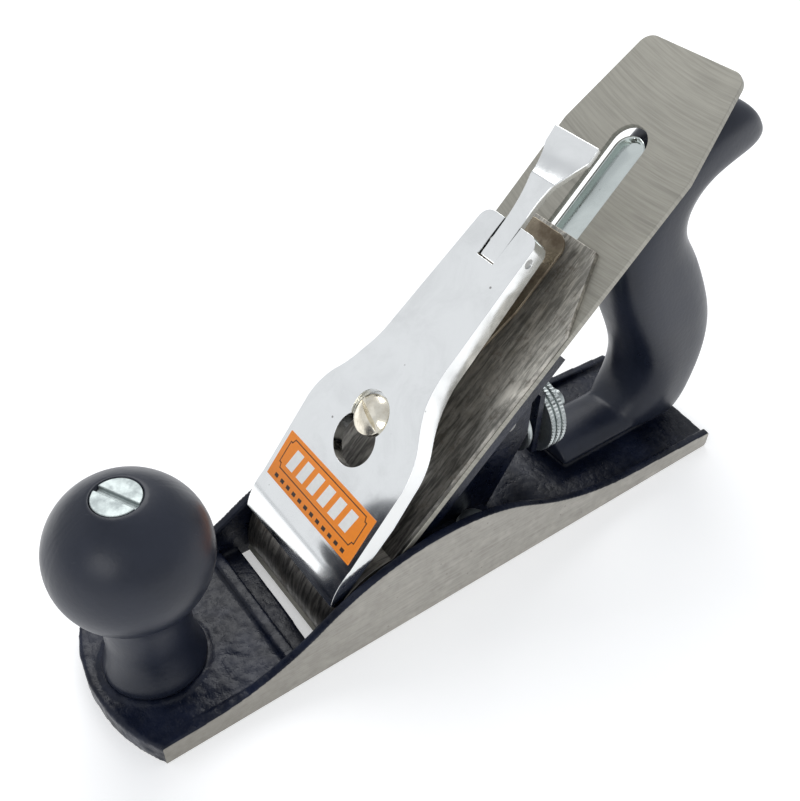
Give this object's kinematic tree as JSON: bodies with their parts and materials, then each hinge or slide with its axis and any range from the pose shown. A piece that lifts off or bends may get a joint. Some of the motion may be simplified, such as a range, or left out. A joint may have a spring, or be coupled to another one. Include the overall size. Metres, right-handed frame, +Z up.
{
  "type": "hand plane",
  "caption": "Metal bench hand plane with ball knob, tote, 45-degree frog, double iron, lever cap with cam, depth nut and lateral lever",
  "frame": {"origin": "middle of the flat sole, on the sole plane", "axes": "+X towards the toe, +Y towards the left cheek, +Z up"},
  "size_m": [0.2207, 0.051, 0.1329],
  "materials": {
    "base_casting": "gloss navy-black enamel, sides and sole ground bare",
    "front_knob": "moulded, satin gloss charcoal",
    "knob_stud": "zinc plated",
    "knob_nut": "dull zinc plated, slotted",
    "rear_tote": "moulded, satin gloss charcoal",
    "tote_stud": "zinc plated",
    "tote_nut": "dull zinc plated, slotted",
    "frog": "gloss navy-black enamel, bed ground bare",
    "frog_screws": "zinc plated, slotted",
    "frog_washers": "zinc plated",
    "cutting_iron": "ground steel with fine cross scratches",
    "cap_iron": "dark mottled steel, brown at the edges",
    "cap_iron_screw": "steel, slotted",
    "lever_cap": "polished chrome plate",
    "lever_cap_spring": "spring steel, straw coloured",
    "spring_rivet": "steel",
    "cam_pin": "steel pin, ends ground flush",
    "label": null,
    "lever_cap_screw": "nickel plated, domed and slotted",
    "cam_lever": "polished chrome plate",
    "depth_stud": "zinc plated",
    "depth_nut": "zinc plated, knurled",
    "yoke": "dark cast",
    "yoke_pin": "steel",
    "lateral_lever": "polished chrome plate",
    "lateral_rivet": "steel",
    "lateral_disc": "steel"
  },
  "bodies": {
    "root": {"base_casting": "base_casting", "front_knob": "front_knob", "knob_stud": "knob_stud", "knob_nut": "knob_nut", "rear_tote": "rear_tote", "tote_stud": "tote_stud", "tote_nut": "tote_nut", "frog_screws": "frog_screws", "frog_washers": "frog_washers"},
    "frog": {"frog": "frog", "depth_stud": "depth_stud", "yoke_pin": "yoke_pin", "lateral_rivet": "lateral_rivet"},
    "lever_screw": {"lever_cap_screw": "lever_cap_screw"},
    "irons": {"cutting_iron": "cutting_iron", "cap_iron": "cap_iron", "cap_iron_screw": "cap_iron_screw"},
    "lever_cap": {"lever_cap": "lever_cap", "lever_cap_spring": "lever_cap_spring", "spring_rivet": "spring_rivet", "cam_pin": "cam_pin", "label": "label"},
    "cam": {"cam_lever": "cam_lever"},
    "depth_nut": {"depth_nut": "depth_nut"},
    "yoke": {"yoke": "yoke"},
    "lateral": {"lateral_lever": "lateral_lever", "lateral_disc": "lateral_disc"}
  },
  "joints": [
    {"name": "frog_slide", "type": "slide", "parent": "root", "child": "frog", "axis": [-1, 0, 0], "range_m": [0, 0.002]},
    {"name": "iron_depth", "type": "slide", "parent": "frog", "child": "irons", "axis": [0.7071, 0, -0.7071], "range_m": [-0.0015, 0.0043]},
    {"name": "yoke_pivot", "type": "hinge", "parent": "frog", "child": "yoke", "pos_m": [-0.02345, 0, 0.04031], "axis": [0, 1, 0], "range_deg": [-4, 11]},
    {"name": "depth_nut_travel", "type": "slide", "parent": "frog", "child": "depth_nut", "axis": [-1, 0, 0], "range_m": [-0.0009, 0.0024]},
    {"name": "lateral_swing", "type": "hinge", "parent": "frog", "child": "lateral", "pos_m": [-0.02274, 0, 0.0693], "axis": [0.7071, 0, 0.7071], "range_deg": [-1.5, 1.5]},
    {"name": "lever_screw_turn", "type": "hinge", "parent": "frog", "child": "lever_screw", "pos_m": [0.01827, 0, 0.05869], "axis": [0.7071, 0, 0.7071], "range_deg": [-90, 90]},
    {"name": "lever_cap_slide", "type": "slide", "parent": "frog", "child": "lever_cap", "axis": [-0.7071, 0, 0.7071], "range_m": [0, 0.009]},
    {"name": "cam_turn", "type": "hinge", "parent": "lever_cap", "child": "cam", "pos_m": [-0.0214, 0, 0.0968], "axis": [0, 1, 0], "range_deg": [0, 95]}
  ],
  "couplings": [
    {"joint": "yoke_pivot", "follows": "iron_depth", "rad_per_m": 40.161},
    {"joint": "depth_nut_travel", "follows": "iron_depth", "ratio": 0.4739}
  ]
}
